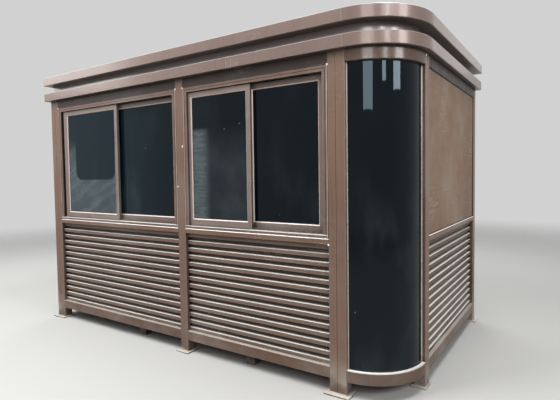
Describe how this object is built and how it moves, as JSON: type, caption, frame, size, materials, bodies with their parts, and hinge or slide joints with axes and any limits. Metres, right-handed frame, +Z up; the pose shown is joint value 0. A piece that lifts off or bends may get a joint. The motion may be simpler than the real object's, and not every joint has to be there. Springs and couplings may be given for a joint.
{
  "type": "security guard booth",
  "caption": "Steel guard booth with louvred lower walls, sliding tinted windows, one curved glass corner and a two-tier cornice.",
  "frame": {"origin": "middle of the footprint, on the ground", "axes": "+X to the right along the front wall, +Y from the front wall to the back wall, +Z up; the curved glass corner is at +X, -Y"},
  "size_m": [4, 2.3, 2.6],
  "materials": {
    "booth_brown": "satin brown coating with fine brushed streaks, dust and light scuffs",
    "window_brown": "satin brown coating",
    "tinted_glass": "dark reflective tint with dust",
    "bead_aluminium": "satin",
    "lining_white": "matte",
    "floor_board": "matte",
    "door_steel": "brushed",
    "roof_sheet": "matte, dusty",
    "base_steel": "satin, dusty and scuffed at the ground"
  },
  "bodies": {
    "root": {"back_headers": "booth_brown", "back_louvres": "booth_brown", "back_posts": "booth_brown", "back_rails": "booth_brown", "back_sills": "booth_brown", "back_window_frame": "window_brown", "back_window_sashes": "window_brown", "base_plates": "base_steel", "ceiling": "lining_white", "corner_glass": "tinted_glass", "corner_glass_beads": "bead_aluminium", "corner_header": "booth_brown", "corner_rail": "booth_brown", "cornice_groove": "booth_brown", "door_frame": "booth_brown", "door_handles": "door_steel", "door_hinges": "door_steel", "door_leaf": "booth_brown", "floor_deck": "floor_board", "floor_joists": "base_steel", "front_headers": "booth_brown", "front_left_inner_post": "booth_brown", "front_left_louvre": "booth_brown", "front_left_post": "booth_brown", "front_middle_post": "booth_brown", "front_rails": "booth_brown", "front_right_inner_post": "booth_brown", "front_right_louvre": "booth_brown", "front_right_post": "booth_brown", "front_sills": "booth_brown", "inner_linings": "lining_white", "joist_feet": "base_steel", "left_window_frame": "window_brown", "left_window_sashes": "window_brown", "lower_cornice": "booth_brown", "right_front_post": "booth_brown", "right_window_frame": "window_brown", "right_window_sashes": "window_brown", "roof": "roof_sheet", "side_headers": "booth_brown", "side_louvres": "booth_brown", "side_rails": "booth_brown", "side_sills": "booth_brown", "upper_cornice": "booth_brown", "wall_panels": "booth_brown", "window_glass": "tinted_glass"}
  },
  "joints": []
}
